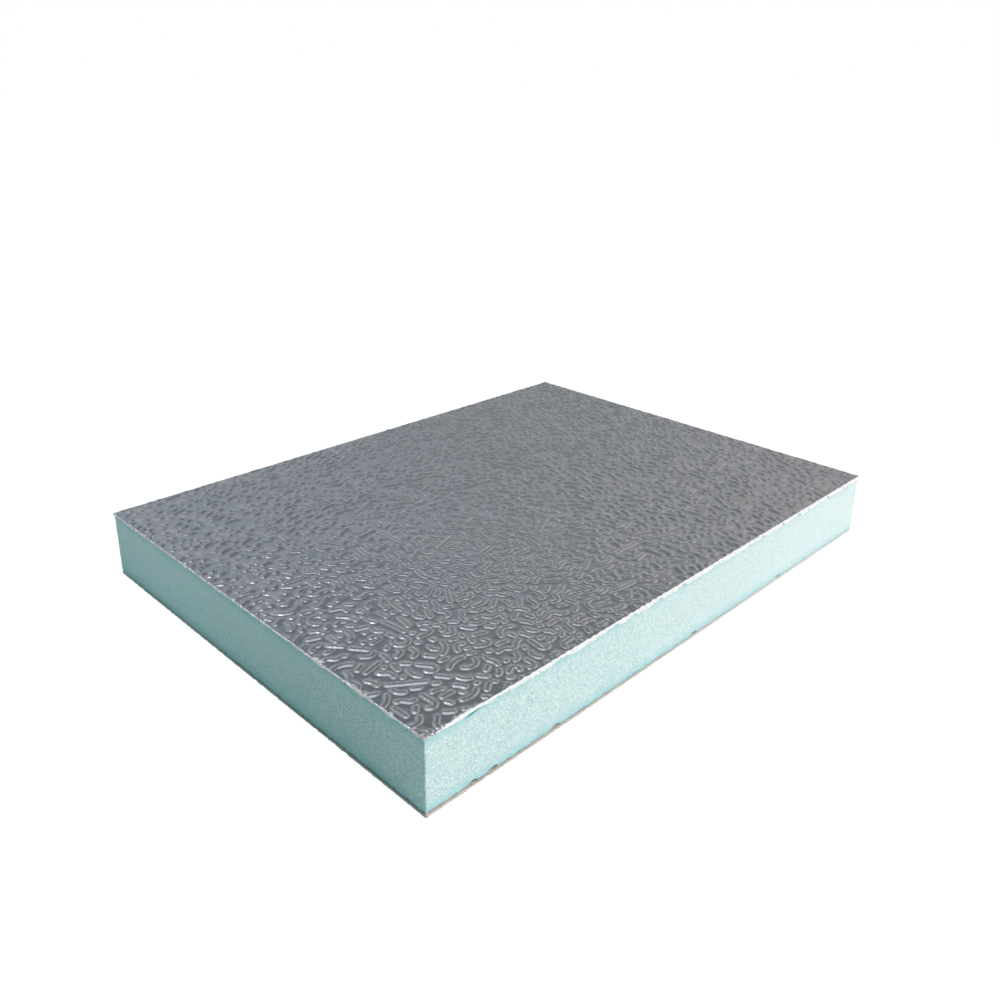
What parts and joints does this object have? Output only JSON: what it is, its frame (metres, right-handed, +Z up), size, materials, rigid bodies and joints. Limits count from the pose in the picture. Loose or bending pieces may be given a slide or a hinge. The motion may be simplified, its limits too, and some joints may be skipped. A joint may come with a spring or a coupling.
{
  "type": "polyiso insulation board",
  "caption": "Cut rectangular sample of rigid foam insulation board with an embossed aluminium foil upper face and a thin felt lower face.",
  "frame": {"origin": "middle of the underside, on the surface that the board lies on", "axes": "+X along the long side, +Y along the short side, +Z up through the thickness, foil side up"},
  "size_m": [0.2006, 0.1506, 0.0216],
  "materials": {
    "foam_core": "matt closed-cell foam, cut",
    "foil_facing": "embossed foil, semi-bright",
    "lower_facing": "matt grey-beige felt"
  },
  "bodies": {
    "root": {"foam_core": "foam_core", "foil_facing": "foil_facing", "lower_facing": "lower_facing"}
  },
  "joints": []
}
